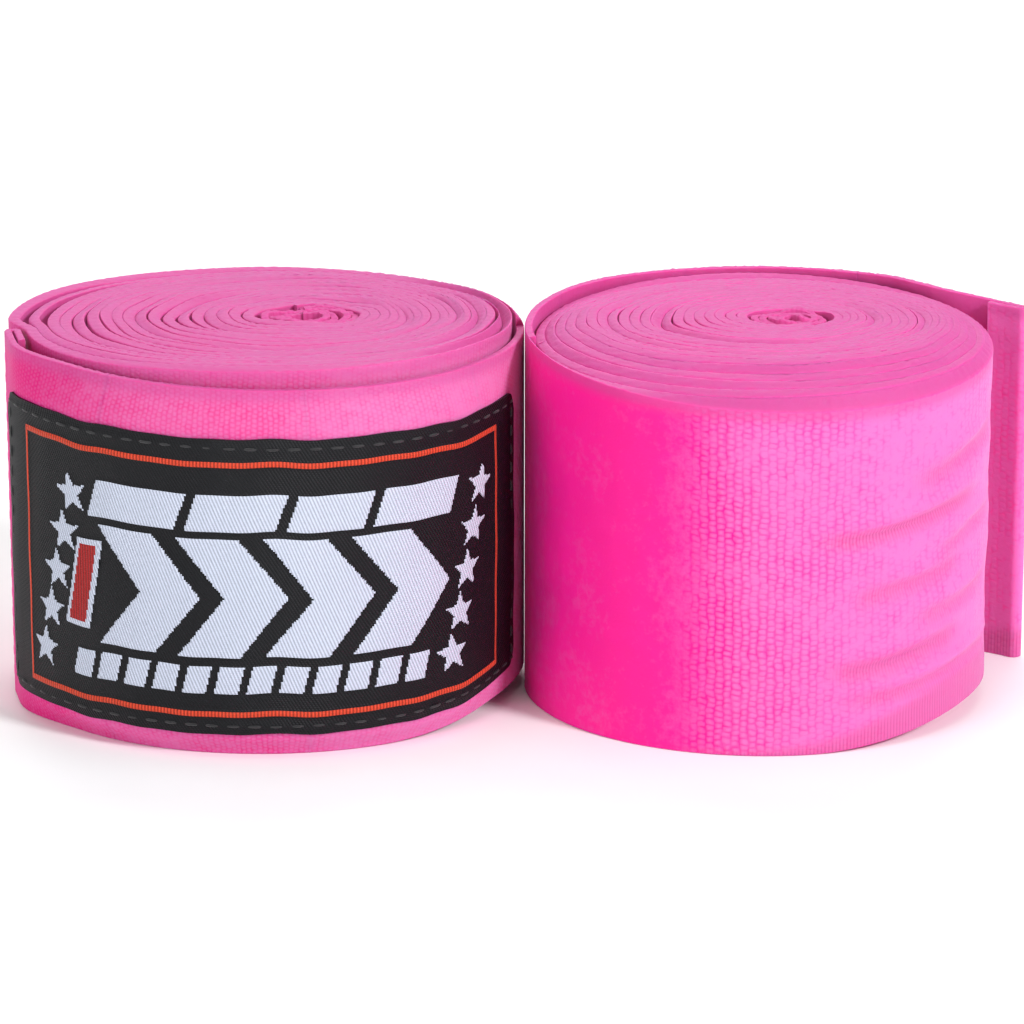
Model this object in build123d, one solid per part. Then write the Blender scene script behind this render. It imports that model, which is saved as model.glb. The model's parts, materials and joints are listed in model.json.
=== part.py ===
"""A pair of boxing hand wraps, each rolled up and standing on its edge.

Each wrap is one long elastic cotton band, wound round a thumb loop that is sewn to its inner end.
The outer end carries a woven label outside and a hook patch inside, and is hemmed.
The hook patch closes on a loop patch sewn to the turn beneath it.
The outer end is cut into segments that hinge on vertical lines, so that it can be peeled off the roll.
Millimetres and degrees; +Z up, +X to the right, +Y to the back; angles are counter-clockwise seen from above.
"""

from build123d import *

import math
import os

# Band
BAND_WIDTH = 50.0
BAND_THICK = 1.0

# Closure: loop patch on the roll, hook patch on the band's end, label outside it
PATCH_THICK = 0.9
PATCH_GAP = 0.5
HOOK_THICK = 1.0
LABEL_THICK = 0.5
LABEL_LOW = 3.5
LABEL_HEIGHT = 39.5
LABEL_INSET = 3.3
PATCH_LOW = 5.0
PATCH_HEIGHT = 40.0

# The band's free end, in the wrap's own angles: hinge lines and what ends where
HINGE_ANGLES = (0.0, -45.0, -90.0, -135.0)
TAB_END = -157.0
LABEL_END = -153.0
PATCH_START = -48.0
PATCH_END = -146.5
HINGE_GAP = 0.4
HEM_GAP = 0.2

# Thread
STITCH_WIDTH = 0.5
STITCH_INSET = 1.2
LABEL_STITCH_PROUD = 0.25
PATCH_STITCH_PROUD = 0.15
HEM_STITCH_ANGLE = -155.6

# Thumb loop: webbing nearly as wide as the band, folded flat and rolled up in the core
WEBBING_THICK = 0.8
WEBBING_WIDTH = 44.0
LOOP_EYE = 0.3
LOOP_CLEARANCE = 0.2
LOOP_HALF_TURNS = 4
BARTACK_ROWS = 5
BARTACK_SPACING = 3.0
BARTACK_ANGLES = (8.0, 70.0)
CORE_RADIUS = 5.7

# The two rolls: the turn under the label, its pitch, how the roll is turned and how far its tip is lifted;
# the room between them, and how far the right one stands in front of the left one
LEFT = {"name": "left", "under_radius": 32.4, "pitch": 1.43, "turn": -12.0, "tip_lift": 0.0}
RIGHT = {"name": "right", "under_radius": 30.25, "pitch": 1.24, "turn": 175.0, "tip_lift": 30.0}
ROLL_GAP = 0.4
ROLL_FORWARD = 4.0


def polar(radius, angle, centre_x=0.0):
    """The point at a radius and an angle about a centre on the X axis."""
    a = math.radians(angle)
    return (centre_x + radius * math.cos(a), radius * math.sin(a))


def arc_angle(length, radius):
    """The angle that a length takes up on a circle."""
    return math.degrees(length / radius)


def raised(face, low, height):
    """A flat outline stood up from one level to another."""
    return Pos(0, 0, low) * extrude(face, height)


def curved_plate(centre_x, inner, outer, start, end, low, height):
    """A plate bent round a vertical line: between two radii and from one angle back to another."""
    outline = Curve() + [
        CenterArc((centre_x, 0), outer, start, end - start),
        Line(polar(outer, end, centre_x), polar(inner, end, centre_x)),
        CenterArc((centre_x, 0), inner, start, end - start),
        Line(polar(inner, start, centre_x), polar(outer, start, centre_x)),
    ]
    return raised(make_face(outline), low, height)


def wound_arcs(last_radius, count, pitch):
    """Half turns of a spiral, outermost first, as (centre x, radius, start angle).

    The last half turn runs over +Y and ends at angle 0; all of them run clockwise, going outward.
    """
    arcs = []
    for back in range(count):
        upper = back % 2 == 0
        arcs.append((pitch / 4 if upper else -pitch / 4, last_radius - back * pitch / 2, 180.0 if upper else 0.0))
    return arcs


def band_length(wrap):
    """The length of one wrap's band, along its middle, with its free end."""
    wound = sum(math.pi * radius for _, radius, _ in wrap["arcs"])
    free = math.radians(abs(TAB_END)) * (wrap["under_radius"] + stack_height() + BAND_THICK / 2)
    return wound + free


def stack_height():
    """From the turn under the label to the inside of the band's free end."""
    return PATCH_THICK + PATCH_GAP + HOOK_THICK


def completed(wrap):
    """A wrap with the dimensions that follow from its driving ones."""
    pitch, under = wrap["pitch"], wrap["under_radius"]
    last_radius = under - BAND_THICK / 2 + pitch / 2
    half_turns = 1 + int((last_radius - CORE_RADIUS) / (pitch / 2))
    wrap = dict(wrap, arcs=wound_arcs(last_radius, half_turns, pitch), centre_x=-pitch / 4)
    first = under + pitch - BAND_THICK
    last = under + stack_height()
    corner = polar(last, HINGE_ANGLES[1])
    ramp_x = (last**2 - first**2) / (2 * (corner[0] - first))
    wrap["band_inner"] = last
    wrap["ramp_x"] = wrap["centre_x"] + ramp_x
    wrap["ramp_inner"] = first - ramp_x
    wrap["ramp_sweep"] = math.degrees(math.atan2(corner[1], corner[0] - ramp_x))
    return wrap


def segment_arc(wrap, index):
    """(centre x, inner radius of the band, start angle, end angle) of one segment of the free end."""
    if index == 0:
        centre_x, inner, start, end = wrap["ramp_x"], wrap["ramp_inner"], 0.0, wrap["ramp_sweep"]
    else:
        last = index == len(HINGE_ANGLES) - 1
        centre_x, inner = wrap["centre_x"], wrap["band_inner"]
        start, end = HINGE_ANGLES[index], TAB_END if last else HINGE_ANGLES[index + 1]
    clear = arc_angle(HINGE_GAP / 2, inner)
    return centre_x, inner, start - clear, end if end == TAB_END else end + clear


def hinge_point(wrap, index):
    """Where a segment's hinge line stands, in the wrap's own frame: on the outer face of the cloth."""
    if index == 0:
        return polar(wrap["ramp_inner"] + BAND_THICK, 0.0, wrap["ramp_x"])
    outer = wrap["band_inner"] + BAND_THICK + LABEL_THICK
    return polar(outer, HINGE_ANGLES[index], wrap["centre_x"])


def wound_band(wrap):
    """The band's wound part: one spiral strip, from the core to the first hinge line."""
    arcs, half = wrap["arcs"], BAND_THICK / 2
    edges = []
    for centre_x, radius, start in arcs:
        edges += [CenterArc((centre_x, 0), radius + side, start, -180.0) for side in (half, -half)]
    outer_x, outer_radius, _ = arcs[0]
    inner_x, inner_radius, inner_start = arcs[-1]
    edges.append(Line(polar(outer_radius + half, 0.0, outer_x), polar(outer_radius - half, 0.0, outer_x)))
    edges.append(
        Line(polar(inner_radius + half, inner_start, inner_x), polar(inner_radius - half, inner_start, inner_x))
    )
    return raised(make_face(Curve() + edges), 0.0, BAND_WIDTH)


def thumb_loop(wrap):
    """The thumb loop, pressed flat to two layers of webbing that meet in a fold, and rolled up inside the core."""
    inner_x, inner_radius, start = wrap["arcs"][-1]
    layers = 2 * WEBBING_THICK + LOOP_EYE
    step = (layers + LOOP_CLEARANCE) / 2
    near, far = LOOP_EYE / 2, layers / 2
    middle = inner_radius - BAND_THICK / 2 - far
    edges = [Line(polar(middle + side * near, start - 180.0, inner_x), polar(middle + side * far, start - 180.0, inner_x))
             for side in (1, -1)]
    side_x = math.cos(math.radians(start))
    for turn in range(LOOP_HALF_TURNS):
        centre_x = inner_x + (turn % 2) * side_x * step
        radius = middle - turn * step
        begin = start + 180.0 * (turn % 2)
        for offset in (-far, -near, near, far):
            edges.append(CenterArc((centre_x, 0), radius + offset, begin, -180.0))
    fold = polar(radius, begin, centre_x)
    heading = begin
    for size in (near, far):
        edges.append(CenterArc(fold, size, heading, 180.0))
    low = (BAND_WIDTH - WEBBING_WIDTH) / 2
    return raised(make_face(Curve() + edges), low, WEBBING_WIDTH)


def bartack(wrap):
    """Rows of thread across the band's inner end, on its outer face, that hold the thumb loop."""
    inner_x, inner_radius, start = wrap["arcs"][-1]
    face = inner_radius + BAND_THICK / 2
    first, last = (start - 180.0 + angle for angle in BARTACK_ANGLES)
    rows = []
    for row in range(BARTACK_ROWS):
        middle = BAND_WIDTH / 2 + (row - (BARTACK_ROWS - 1) / 2) * BARTACK_SPACING
        low = middle - STITCH_WIDTH / 2
        rows.append(curved_plate(inner_x, face, face + PATCH_STITCH_PROUD, last, first, low, STITCH_WIDTH))
    return Compound(rows)


def loop_patch(wrap):
    """The soft half of the closure, sewn to the turn that lies under the label."""
    under = wrap["under_radius"]
    return curved_plate(
        wrap["centre_x"], under, under + PATCH_THICK, PATCH_START, PATCH_END, PATCH_LOW, PATCH_HEIGHT
    )


def stitch_frame(centre_x, radius, proud, start, end, low, height, ends):
    """Thread round a patch: a run along its top and bottom, and one down each end that is asked for."""
    across = arc_angle(STITCH_WIDTH, radius)
    runs = [
        curved_plate(centre_x, radius, radius + proud, start, end, z, STITCH_WIDTH)
        for z in (low, low + height - STITCH_WIDTH)
    ]
    between = height - 2 * STITCH_WIDTH
    for angle in ends:
        near = angle if angle == start else angle + across
        runs.append(curved_plate(centre_x, radius, radius + proud, near, near - across, low + STITCH_WIDTH, between))
    return Compound(runs)


def loop_patch_stitching(wrap):
    """The thread that holds the loop patch."""
    outer = wrap["under_radius"] + PATCH_THICK
    inset = arc_angle(STITCH_INSET, outer)
    start, end = PATCH_START - inset, PATCH_END + inset
    low, height = PATCH_LOW + STITCH_INSET, PATCH_HEIGHT - 2 * STITCH_INSET
    return stitch_frame(wrap["centre_x"], outer, PATCH_STITCH_PROUD, start, end, low, height, (start, end))


def band_end(wrap, index):
    """One segment of the band's free end."""
    centre_x, inner, start, end = segment_arc(wrap, index)
    return curved_plate(centre_x, inner, inner + BAND_THICK, start, end, 0.0, BAND_WIDTH)


def label_span(wrap, index):
    """The angles that the label covers on a segment."""
    _, inner, start, end = segment_arc(wrap, index)
    if index == 0:
        start = -arc_angle(LABEL_INSET, inner + BAND_THICK)
    return start, max(end, LABEL_END) if index else end


def label(wrap, index):
    """One segment of the woven label, on the band's outer face."""
    centre_x, inner, _, _ = segment_arc(wrap, index)
    start, end = label_span(wrap, index)
    face = inner + BAND_THICK
    return curved_plate(centre_x, face, face + LABEL_THICK, start, end, LABEL_LOW, LABEL_HEIGHT)


def label_stitching(wrap, index):
    """The thread round the label, on one segment."""
    centre_x, inner, _, _ = segment_arc(wrap, index)
    start, end = label_span(wrap, index)
    face = inner + BAND_THICK + LABEL_THICK
    inset = arc_angle(STITCH_INSET, face)
    ends = []
    if index == 0:
        start -= inset
        ends.append(start)
    if end == LABEL_END:
        end += inset
        ends.append(end)
    low, height = LABEL_LOW + STITCH_INSET, LABEL_HEIGHT - 2 * STITCH_INSET
    return stitch_frame(centre_x, face, LABEL_STITCH_PROUD, start, end, low, height, ends)


def hook_patch(wrap, index):
    """One segment of the hook patch, on the band's inner face."""
    centre_x, inner, start, end = segment_arc(wrap, index)
    start = min(start, PATCH_START) if index == 1 else start
    end = max(end, PATCH_END + arc_angle(HEM_GAP, inner))
    return curved_plate(centre_x, inner - HOOK_THICK, inner, start, end, PATCH_LOW, PATCH_HEIGHT)


def end_hem(wrap):
    """The band's very end, folded round and back under itself."""
    centre_x, inner, _, _ = segment_arc(wrap, len(HINGE_ANGLES) - 1)
    back = curved_plate(centre_x, inner - BAND_THICK, inner, PATCH_END, TAB_END, 0.0, BAND_WIDTH)
    fold = Curve() + [
        CenterArc(polar(inner, TAB_END, centre_x), BAND_THICK, TAB_END - 180.0, 180.0),
        Line(polar(inner - BAND_THICK, TAB_END, centre_x), polar(inner + BAND_THICK, TAB_END, centre_x)),
    ]
    return back + raised(make_face(fold), 0.0, BAND_WIDTH)


def hem_stitching(wrap):
    """The thread that holds the hem: one run down the band's end, outside the label."""
    centre_x, inner, _, _ = segment_arc(wrap, len(HINGE_ANGLES) - 1)
    face = inner + BAND_THICK
    across = arc_angle(STITCH_WIDTH, face)
    return curved_plate(
        centre_x, face, face + LABEL_STITCH_PROUD, HEM_STITCH_ANGLE, HEM_STITCH_ANGLE - across,
        STITCH_INSET, BAND_WIDTH - 2 * STITCH_INSET,
    )


def segment_nodes(wrap, index):
    """Everything that moves with one segment of the free end, by node name."""
    number = index + 1
    nodes = {
        f"band_end_{number}": band_end(wrap, index),
        f"label_{number}": label(wrap, index),
        f"label_stitching_{number}": label_stitching(wrap, index),
    }
    if index > 0:
        nodes[f"hook_patch_{number}"] = hook_patch(wrap, index)
    if number == len(HINGE_ANGLES):
        nodes["end_hem"] = end_hem(wrap)
        nodes["hem_stitching"] = hem_stitching(wrap)
        x, y = hinge_point(wrap, index)
        lift = Pos(x, y, 0) * Rot(0, 0, wrap["tip_lift"]) * Pos(-x, -y, 0)
        nodes = {name: lift * shape for name, shape in nodes.items()}
    return nodes


def bodies_of(wrap):
    """The wrap's rigid bodies, each a dictionary of node name to shape, in the wrap's own frame."""
    bodies = {
        "roll": {
            "wound_band": wound_band(wrap),
            "thumb_loop": thumb_loop(wrap),
            "thumb_loop_bartack": bartack(wrap),
            "loop_patch": loop_patch(wrap),
            "loop_patch_stitching": loop_patch_stitching(wrap),
        }
    }
    for index in range(len(HINGE_ANGLES)):
        bodies[f"tab_{index + 1}"] = segment_nodes(wrap, index)
    return bodies


def placements(built):
    """Each wrap's place: side by side, with the pair's box centred on the origin."""
    turned, boxes = {}, {}
    for name, (wrap, bodies) in built.items():
        turned[name] = Rot(0, 0, wrap["turn"])
        shapes = [turned[name] * shape for nodes in bodies.values() for shape in nodes.values()]
        corners = [shape.bounding_box() for shape in shapes]
        boxes[name] = [min(c.min.X for c in corners), max(c.max.X for c in corners),
                       min(c.min.Y for c in corners), max(c.max.Y for c in corners)]
    left, right = boxes["left"], boxes["right"]
    apart = left[1] - right[0] + ROLL_GAP
    middle_x = (left[0] + right[1] + apart) / 2
    middle_y = (min(left[2], right[2] - ROLL_FORWARD) + max(left[3], right[3] - ROLL_FORWARD)) / 2
    return {
        "left": Pos(-middle_x, -middle_y, 0) * turned["left"],
        "right": Pos(apart - middle_x, -ROLL_FORWARD - middle_y, 0) * turned["right"],
    }


def main():
    os.makedirs("parts", exist_ok=True)
    wraps = [completed(LEFT), completed(RIGHT)]
    built = {wrap["name"]: (wrap, bodies_of(wrap)) for wrap in wraps}
    places = placements(built)
    for name, (wrap, bodies) in built.items():
        place = places[name]
        print(name, "band length", round(band_length(wrap)), "half turns", len(wrap["arcs"]))
        print(name, "axis", [round(v, 4) for v in place.position])
        for index in range(len(HINGE_ANGLES)):
            hinge = place * Pos(*hinge_point(wrap, index), 0)
            print(name, "hinge", index + 1, [round(v, 4) for v in hinge.position])
        for body, nodes in bodies.items():
            for node, shape in nodes.items():
                export_step(place * shape, f"parts/{name}_{node}.step")


if __name__ == "__main__":
    main()
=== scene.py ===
"""The looks of a pair of boxing hand wraps, rolled up and standing on edge.

Each band is one spiral ribbon of cloth. Its free end, label and patches are cut at the middle of
each rigid CAD segment, so that every piece spans one hinge line and meets its neighbour inside
one rigid segment.
Lengths are in millimetres and angles in degrees until a mesh is made, which is in metres.
An angle along a band grows clockwise, outward along the cloth, and is 0 at its first hinge line.
"""
import json
import math
from dataclasses import dataclass
from functools import partialmethod
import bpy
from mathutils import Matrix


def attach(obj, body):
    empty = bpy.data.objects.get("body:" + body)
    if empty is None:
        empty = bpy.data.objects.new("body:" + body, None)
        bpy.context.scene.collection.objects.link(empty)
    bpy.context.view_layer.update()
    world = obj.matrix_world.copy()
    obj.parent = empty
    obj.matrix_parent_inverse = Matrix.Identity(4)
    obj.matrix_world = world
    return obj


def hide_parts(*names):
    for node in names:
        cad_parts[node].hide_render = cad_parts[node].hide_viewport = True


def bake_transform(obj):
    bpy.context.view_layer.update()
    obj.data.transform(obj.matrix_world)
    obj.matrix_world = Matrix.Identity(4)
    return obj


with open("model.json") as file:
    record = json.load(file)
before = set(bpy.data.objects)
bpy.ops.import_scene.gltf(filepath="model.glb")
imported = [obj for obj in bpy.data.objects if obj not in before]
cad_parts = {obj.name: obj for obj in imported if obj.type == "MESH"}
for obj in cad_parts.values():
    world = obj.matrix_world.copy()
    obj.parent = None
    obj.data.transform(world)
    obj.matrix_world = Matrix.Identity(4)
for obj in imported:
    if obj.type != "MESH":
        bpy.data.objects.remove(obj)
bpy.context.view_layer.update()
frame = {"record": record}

from types import SimpleNamespace

import bpy
import numpy as np

MM = 0.001

# Cloth, from the inside of the closure outward
BAND_WIDTH = 50.0
BAND_THICK = 1.0
PATCH_THICK = 0.9
PATCH_GAP = 0.5
HOOK_THICK = 1.0
LABEL_THICK = 0.5
STACK = PATCH_THICK + PATCH_GAP + HOOK_THICK + BAND_THICK
WOUND_FILL = 1.07  # a wound turn's thickness, as a share of its room
MOST_FILL = 1.12  # and at most this share of the usual room
ROUND_TOP = 0.17
CORE_RADIUS = 5.4
OUTER_START = -372.0  # where the outer turn's finer cloth starts

# Along the free end
TAB_END = 157.0
HEM_FOLD = 1.1
HEM_START = 147.5
HEM_STITCH = 155.6
RAMP_END = 50.0  # where the end lies fully on the closure
CUTS = (-14.0, 24.0, 67.5, 112.5, TAB_END)
HINGES = (0.0, 45.0, 90.0, 135.0)
BEND_REACH = 19.0
FIRST_BEND_START = -12.0
LAST_BEND_START = 122.0
LABEL_SPAN = (7.0, 146.5)
LABEL_LOW = 3.4
LABEL_HEIGHT = 40.4
CORNER = 1.6
PATCH_SPAN = (48.0, 146.5)
PATCH_LOW = 5.0
PATCH_HIGH = 45.0

# The band's edges
LEAN_TOP = 0.885  # shares of the height where the upper and lower edges start to lean
LEAN_BASE = 0.06
LEAN_SHARE = 0.75  # of the room under the free end that they lean over
TIP_SETTLE = 0.6
TIP_DROOP = 1.8
TOUCH_BULGE = 0.18
TURNS_SHOWN = 14.0

# Weave and thread
CELL = 0.25
SINK = 0.02  # between a patch and the cloth under it
STITCH_LENGTH = 2.1
STITCH_WIDTH = 0.36
STITCH_PITCH = 2.7
STITCH_INSET = 1.2


def smooth(x):
    """From 0 to 1 with level ends."""
    x = np.clip(x, 0.0, 1.0)
    return x * x * (3.0 - 2.0 * x)


def ripple(x, y, seed, waves=6):
    """Smooth irregular waves, mostly within -1 to 1, about one wave to each unit of x or y."""
    random = np.random.default_rng(seed)
    total = 0.0
    for _ in range(waves):
        heading, phase = random.uniform(0, 2 * math.pi, 2)
        rate = 2 * math.pi * random.uniform(0.5, 1.4)
        total = total + np.sin(rate * (math.cos(heading) * x + math.sin(heading) * y) + phase)
    return total / math.sqrt(waves) * 0.8


def swung(points, pivot, degrees):
    """Points turned about a pivot, seen from above."""
    arm = points - pivot
    cos, sin = np.cos(np.radians(degrees)), np.sin(np.radians(degrees))
    x, y = arm[..., 0], arm[..., 1]
    return pivot + np.stack([cos * x - sin * y, sin * x + cos * y], -1)


def unit(vectors):
    return vectors / np.linalg.norm(vectors, axis=-1, keepdims=True)


@dataclass
class Wrap:
    """One wrap's place, read from its hinge lines in the frame, and its shape."""
    name: str
    joints: tuple
    tip_lift: float  # how far the tip stands out, in degrees
    tip_fill: float  # how far the turns swell beyond the tip
    drift: tuple  # how far the core lies off the middle
    oval: float
    rim: tuple  # the outer turn's height at the front, right, back and left
    end_top: float  # the free end's height, if it isn't the rim's
    inner_top: tuple  # the inner turns' height at the front edge, midway and at the core
    rise: float  # how many turns in they take over from the rim
    ridge: float
    lift: float  # how far the lower edge is off the floor, at the right
    touch: float  # where the two rolls touch
    seed: int
    grooves: tuple  # (turns in, angle from the front, half length in degrees, how wide)

    def __post_init__(self):
        hinges = [j for j in frame["record"]["behaviour"]["joints"] if j["type"] == "hinge"]
        places = {j["name"]: j["pos_m"] for j in hinges}
        lines = [np.array(places[j][:2]) / MM for j in self.joints]
        root = math.sqrt(2)
        self.lines = lines
        self.axis = (lines[1] + lines[3] - root * lines[2]) / (2 - root)
        spoke = lines[2] - self.axis
        self.turn = math.degrees(math.atan2(spoke[1], spoke[0])) + HINGES[2]
        self.under = np.linalg.norm(spoke) - STACK - LABEL_THICK
        self.pitch = np.linalg.norm(lines[0] - self.axis) - self.under

    def face(self, a):
        """The radius of the band's outer face."""
        back = np.maximum(-a, 0.0)
        turns, within = np.divmod(back, 360.0)
        step = np.where(within < 180.0, (1 + np.cos(np.radians(within))) / 2, 0.0)
        wound = self.under + self.pitch * (step - turns)
        for first, size in ((-205.0, 1.0), (-565.0, 0.45)):
            swell = smooth((a - first) / 14.0) * (1 - smooth((a - first - 35.0) / 50.0))
            wound = wound + size * self.tip_fill * swell
        free = self.under + self.pitch + (STACK - self.pitch) * smooth(a / RAMP_END)
        free = free - TIP_SETTLE * smooth((a - PATCH_SPAN[1] + 6.0) / 14.0)
        return np.where(a <= 0, wound, free)

    def facing(self, a):
        """The angle from the front of the roll, growing to the right, from -180 to 180."""
        return (self.turn - a + 90.0 + 180.0) % 360.0 - 180.0

    def place(self, a, out=0.0):
        """Points on the band, at a distance out from its outer face."""
        a = np.asarray(a, float)
        radius = self.face(a) + out
        angle = np.radians(self.turn - a)
        inside = np.maximum(0.97 - radius / self.under, 0.0)
        radius = radius + TOUCH_BULGE * np.exp(-(((a - self.touch) / 11.0) ** 2))
        x, y = radius * np.cos(angle), radius * np.sin(angle)
        wave = 0.35 * smooth(inside / 0.15) * ripple(x / 13, y / 13, self.seed)
        x = x * (1 + self.oval * inside) + wave * np.cos(angle) + self.drift[0] * inside
        y = y * (1 - self.oval * inside) + wave * np.sin(angle) + self.drift[1] * inside
        points = np.stack([x, y], -1) + self.axis
        if self.tip_lift:
            start, end = bend_span(3)
            bend = smooth((a - start) / (end - start))
            points = swung(points, self.lines[3], self.tip_lift * bend)
        return points

    def outward(self, a):
        """Unit normals of the band's outer face."""
        along = unit(self.place(a + 0.2) - self.place(a - 0.2))
        return np.stack([-along[..., 1], along[..., 0]], -1)

    def depth(self, a):
        """How many turns a point lies inside the outermost one."""
        return np.maximum(-a, 0.0) / 360.0

    def top(self, a):
        """The height of the band's upper edge."""
        front, right, back, left = self.rim
        beta = np.radians(self.facing(a))
        rim = (front + right + back + left) / 4 + (front - back) / 2 * np.cos(beta)
        rim = rim + (right - left) / 2 * np.sin(beta)
        rim = rim + (front + back - right - left) / 4 * np.cos(2 * beta)
        depth = self.depth(a)
        edge, middle, core = self.inner_top
        front = (1 + np.cos(beta)) / 2
        share = np.clip(depth / TURNS_SHOWN, 0, 1)
        plateau = edge * front + (BAND_WIDTH - 0.3) * (1 - front)
        plateau = plateau + (middle - plateau) * smooth(share * 2)
        plateau = plateau + (core - middle) * smooth(share * 2 - 1)
        around = np.radians(self.turn - a)
        x, y, turns = np.cos(around), np.sin(around), a / 360.0
        ridge = ripple(0.5 * x + 0.75 * turns, 0.5 * y - 0.3 * turns, self.seed + 1)
        fine = ripple(1.6 * x + 2.1 * turns, 1.6 * y, self.seed + 2)
        inner = smooth((depth - self.rise) / 0.4)
        plateau = plateau - 1.2 * self.groove(a)
        if self.end_top is not None:
            end_top = self.end_top - TIP_DROOP * smooth((a - LAST_BEND_START) / 34.0)
            rim = rim + (end_top - rim) * smooth((a - 20.0) / 70.0)
        return rim + inner * (plateau - rim + self.ridge * ridge + 0.05 * fine)

    def groove(self, a):
        """How wide a groove is at a place along the wound band."""
        width = 0.0
        for turns, facing, reach, size in self.grooves:
            middle = self.turn + 90.0 - facing
            middle = middle - 360.0 * (math.floor(middle / 360.0) + 1 + turns)
            width = width + size * np.exp(-(((a - middle) / reach) ** 4))
        return width

    def bottom(self, a):
        """The height of the band's lower edge: lifted at the right of the outer turn."""
        beta = self.facing(a)
        raised = smooth((beta - 8.0) / 62.0) * (1 - smooth((beta - 105.0) / 50.0))
        outside = 1 - smooth((self.depth(a) - 0.8) / 7.0)
        return self.lift * raised * outside * (1 - smooth(a / 60.0))


def bend_span(index):
    """Where along the band the cloth starts and ends its bend over a hinge line."""
    start = HINGES[index] - BEND_REACH
    start = {0: FIRST_BEND_START, len(HINGES) - 1: LAST_BEND_START}.get(index, start)
    return start, HINGES[index] + BEND_REACH


LEFT = Wrap(
    "left", ("left_peel", "left_peel_2", "left_peel_3", "left_peel_4"), tip_lift=0.0, tip_fill=2.4,
    drift=(7.0, 3.0), oval=0.1, rim=(48.2, 48.6, 49.9, 49.9), end_top=None,
    inner_top=(50.6, 50.3, 50.0), rise=0.42, ridge=0.3, lift=2.2, touch=-12.0, seed=11,
    grooves=((1, -72.0, 55.0, 0.3), (2, 92.0, 48.0, 1.1), (4, -80.0, 60.0, 0.25),
             (5, 80.0, 40.0, 0.3), (7, -65.0, 50.0, 0.3), (9, -40.0, 70.0, 0.3),
             (10, 80.0, 50.0, 0.25), (12, -90.0, 50.0, 0.2)))
RIGHT = Wrap(
    "right", ("right_peel", "right_peel_2", "right_peel_3", "right_tip_lift"), tip_lift=30.0,
    tip_fill=0.0, drift=(4.5, 0.0), oval=0.06, rim=(45.6, 47.8, 50.8, 49.9), end_top=51.1,
    inner_top=(47.1, 50.8, 51.0), rise=0.62, ridge=0.12, lift=2.8, touch=-7.0, seed=23,
    grooves=((0, -60.0, 50.0, 0.15), (1, -60.0, 60.0, 0.2), (2, -70.0, 60.0, 0.15),
             (8, -55.0, 75.0, 0.3), (9, 85.0, 35.0, 0.35), (13, -40.0, 95.0, 0.4),
             (15, 100.0, 50.0, 0.25)))
WRAPS = (LEFT, RIGHT)


# ---- meshes

def add_object(name, data):
    obj = bpy.data.objects.new(name, data)
    bpy.context.collection.objects.link(obj)
    return obj


def make_object(name, points, faces, uvs=None, materials=(), slots=None, sharp=None, layers=None):
    """A mesh object from millimetre points; uvs are one per vertex, in metres."""
    mesh = bpy.data.meshes.new(name)
    mesh.from_pydata((np.asarray(points) * MM).tolist(), [], faces)
    if uvs is not None:
        loops = np.empty(len(mesh.loops), np.int32)
        mesh.loops.foreach_get("vertex_index", loops)
        layer = mesh.uv_layers.new(name="cloth")
        layer.data.foreach_set("uv", np.asarray(uvs)[loops].astype(np.float32).ravel())
    for layer_name, values in (layers or {}).items():
        layer = mesh.attributes.new(layer_name, "FLOAT", "POINT")
        layer.data.foreach_set("value", np.asarray(values, np.float32))
    for material in materials:
        mesh.materials.append(material)
    if slots is not None:
        mesh.polygons.foreach_set("material_index", np.asarray(slots, np.int32))
    mesh.polygons.foreach_set("use_smooth", np.ones(len(mesh.polygons), bool))
    if sharp:
        marked = set(sharp)
        for one in mesh.edges:
            if tuple(sorted(one.vertices)) in marked:
                one.use_edge_sharp = True
    mesh.update()
    return add_object(name, mesh)


def squared(share):
    """Rounds a sine or cosine out, so that a half circle becomes a soft-cornered box."""
    return math.copysign(abs(share) ** 0.65, share)


ROUND_STEPS = 8
# Their tone of 0.45 is painted light: it makes the faces that look into the roll paler, lifting the
# shade that falls there.
INNER_MARKS = (0.6, 0.0, 0.45)  # nap, crease and tone of the face that looks into the roll
BASE_RIM = 0.3


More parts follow.
